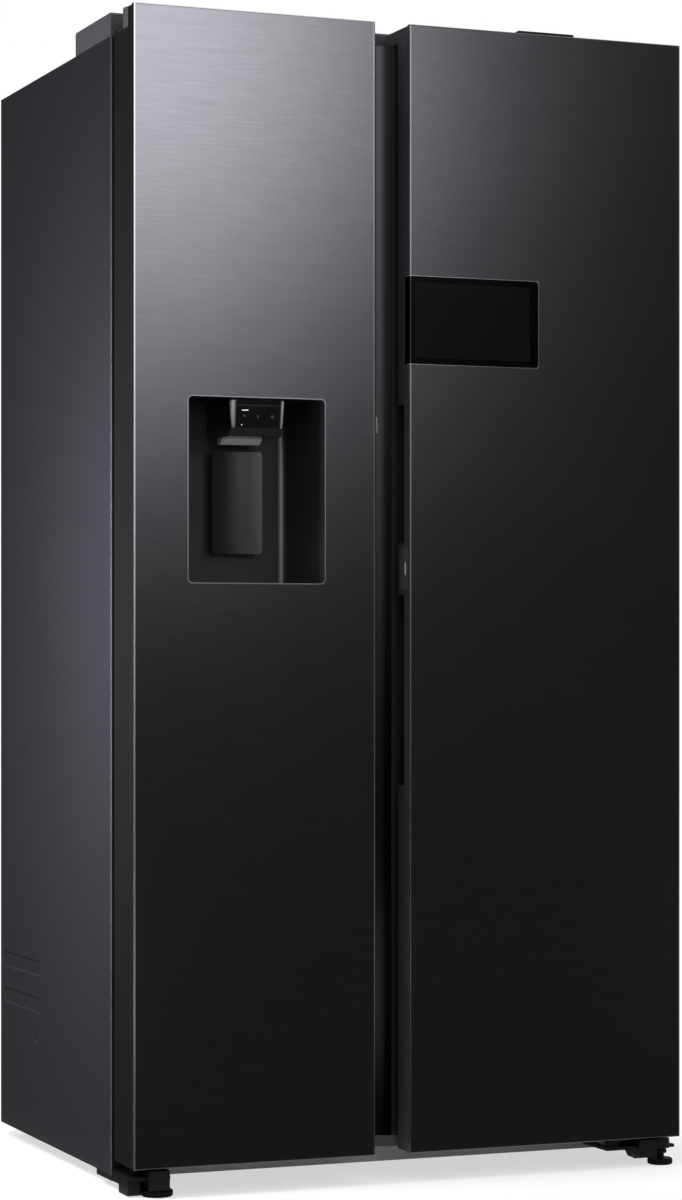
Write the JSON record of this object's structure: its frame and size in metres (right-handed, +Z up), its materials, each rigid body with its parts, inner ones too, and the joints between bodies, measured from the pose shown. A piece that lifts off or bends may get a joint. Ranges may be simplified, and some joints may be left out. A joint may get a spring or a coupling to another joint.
{
  "type": "side-by-side refrigerator",
  "caption": "Free-standing side-by-side fridge-freezer with recessed grips, an ice and water dispenser and a touch screen, on front feet and rear rollers.",
  "frame": {"origin": "on the floor under the middle of the whole appliance", "axes": "+Z up, the door fronts face -Y, +X to the right seen from the front"},
  "size_m": [0.912, 0.716, 1.785],
  "materials": {
    "case_paint": "satin",
    "galvanised": "satin",
    "insulation": "matte",
    "frame_steel": "satin",
    "rail_grey": "satin",
    "liner_white": "satin",
    "shelf_glass": "gloss",
    "lamp_diffuser": "satin",
    "coil_aluminium": "satin",
    "compressor_black": "satin",
    "black_trim": "matte",
    "valve_white": "matte",
    "cover_grey": "matte",
    "hinge_steel": "satin",
    "door_steel": "satin",
    "door_core": "matte",
    "seal_grey": "matte",
    "bin_clear": "gloss",
    "recess_black": "satin",
    "bezel_steel": "satin",
    "gloss_black": "gloss",
    "spout_grey": "satin",
    "screen_glass": "gloss",
    "roller_black": "matte"
  },
  "bodies": {
    "cabinet": {"outer_case": "case_paint", "back_panel": "galvanised", "cabinet_foam": "insulation", "front_frame": "frame_steel", "base_frame": "rail_grey", "freezer_liner": "liner_white", "fridge_liner": "liner_white", "freezer_shelves": "shelf_glass", "fridge_shelves": "shelf_glass", "freezer_duct": "liner_white", "fridge_duct": "liner_white", "fridge_lamp": "lamp_diffuser", "freezer_evaporator": "coil_aluminium", "compressor": "compressor_black", "condenser": "coil_aluminium", "fan_shroud": "black_trim", "drain_pan": "black_trim", "machine_cover": "galvanised", "water_valve": "valve_white", "cord_gland": "black_trim", "top_cover": "cover_grey", "upper_hinge_left": "hinge_steel", "upper_hinge_right": "hinge_steel", "lower_hinge_left": "hinge_steel", "lower_hinge_right": "hinge_steel"},
    "freezer_door": {"freezer_door_skin": "door_steel", "freezer_door_body": "door_core", "freezer_door_caps": "black_trim", "freezer_gasket": "seal_grey", "freezer_door_liner": "liner_white", "freezer_slim_bins": "bin_clear", "freezer_deep_bins": "bin_clear", "ice_bucket": "bin_clear", "dispenser_housing": "recess_black", "dispenser_bezel": "bezel_steel", "dispenser_panel": "gloss_black", "dispenser_spout": "spout_grey", "drip_tray": "recess_black"},
    "fridge_door": {"fridge_door_skin": "door_steel", "fridge_door_body": "door_core", "fridge_door_caps": "black_trim", "fridge_gasket": "seal_grey", "fridge_door_liner": "liner_white", "fridge_slim_bins": "bin_clear", "fridge_deep_bins": "bin_clear", "touch_screen": "screen_glass", "touch_plate": "gloss_black"},
    "dispenser_lever": {"dispenser_lever": "recess_black"},
    "left_foot": {"left_foot": "black_trim"},
    "right_foot": {"right_foot": "black_trim"},
    "front_roller_left": {"front_roller_left": "roller_black"},
    "front_roller_right": {"front_roller_right": "roller_black"},
    "rear_roller_left": {"rear_roller_left": "roller_black"},
    "rear_roller_right": {"rear_roller_right": "roller_black"},
    "freezer_fan": {"freezer_fan": "valve_white"},
    "condenser_fan": {"condenser_fan": "black_trim"},
    "freezer_drawer_lower": {"freezer_drawer_lower": "bin_clear"},
    "freezer_drawer_upper": {"freezer_drawer_upper": "bin_clear"},
    "crisper_lower": {"crisper_lower": "bin_clear"},
    "crisper_upper": {"crisper_upper": "bin_clear"}
  },
  "joints": [
    {"name": "freezer_door_hinge", "type": "hinge", "parent": "cabinet", "child": "freezer_door", "pos_m": [-0.434, -0.302, 0.9], "axis": [0, 0, -1], "range_deg": [0, 115]},
    {"name": "fridge_door_hinge", "type": "hinge", "parent": "cabinet", "child": "fridge_door", "pos_m": [0.434, -0.302, 0.9], "axis": [0, 0, 1], "range_deg": [0, 115]},
    {"name": "dispenser_lever_hinge", "type": "hinge", "parent": "freezer_door", "child": "dispenser_lever", "pos_m": [-0.2563, -0.243, 1.116], "axis": [1, 0, 0], "range_deg": [0, 5], "stiffness_Nm_per_rad": 0.6},
    {"name": "left_foot_screw", "type": "slide", "parent": "cabinet", "child": "left_foot", "axis": [0, 0, -1], "range_m": [0, 0.012]},
    {"name": "right_foot_screw", "type": "slide", "parent": "cabinet", "child": "right_foot", "axis": [0, 0, -1], "range_m": [0, 0.012]},
    {"name": "front_roller_left_spin", "type": "hinge", "parent": "cabinet", "child": "front_roller_left", "pos_m": [-0.446, -0.304, 0.0135], "axis": [1, 0, 0], "continuous": true},
    {"name": "front_roller_right_spin", "type": "hinge", "parent": "cabinet", "child": "front_roller_right", "pos_m": [0.418, -0.282, 0.0135], "axis": [1, 0, 0], "continuous": true},
    {"name": "rear_roller_left_spin", "type": "hinge", "parent": "cabinet", "child": "rear_roller_left", "pos_m": [-0.41, 0.3, 0.012], "axis": [1, 0, 0], "continuous": true},
    {"name": "rear_roller_right_spin", "type": "hinge", "parent": "cabinet", "child": "rear_roller_right", "pos_m": [0.41, 0.3, 0.012], "axis": [1, 0, 0], "continuous": true},
    {"name": "freezer_fan_spin", "type": "hinge", "parent": "cabinet", "child": "freezer_fan", "pos_m": [-0.2385, 0.229, 0.76], "axis": [0, 1, 0], "continuous": true},
    {"name": "condenser_fan_spin", "type": "hinge", "parent": "cabinet", "child": "condenser_fan", "pos_m": [0.038, 0.252, 0.16], "axis": [1, 0, 0], "continuous": true},
    {"name": "freezer_drawer_lower_slide", "type": "slide", "parent": "cabinet", "child": "freezer_drawer_lower", "axis": [0, -1, 0], "range_m": [0, 0.06]},
    {"name": "freezer_drawer_upper_slide", "type": "slide", "parent": "cabinet", "child": "freezer_drawer_upper", "axis": [0, -1, 0], "range_m": [0, 0.06]},
    {"name": "crisper_lower_slide", "type": "slide", "parent": "cabinet", "child": "crisper_lower", "axis": [0, -1, 0], "range_m": [0, 0.06]},
    {"name": "crisper_upper_slide", "type": "slide", "parent": "cabinet", "child": "crisper_upper", "axis": [0, -1, 0], "range_m": [0, 0.06]}
  ]
}
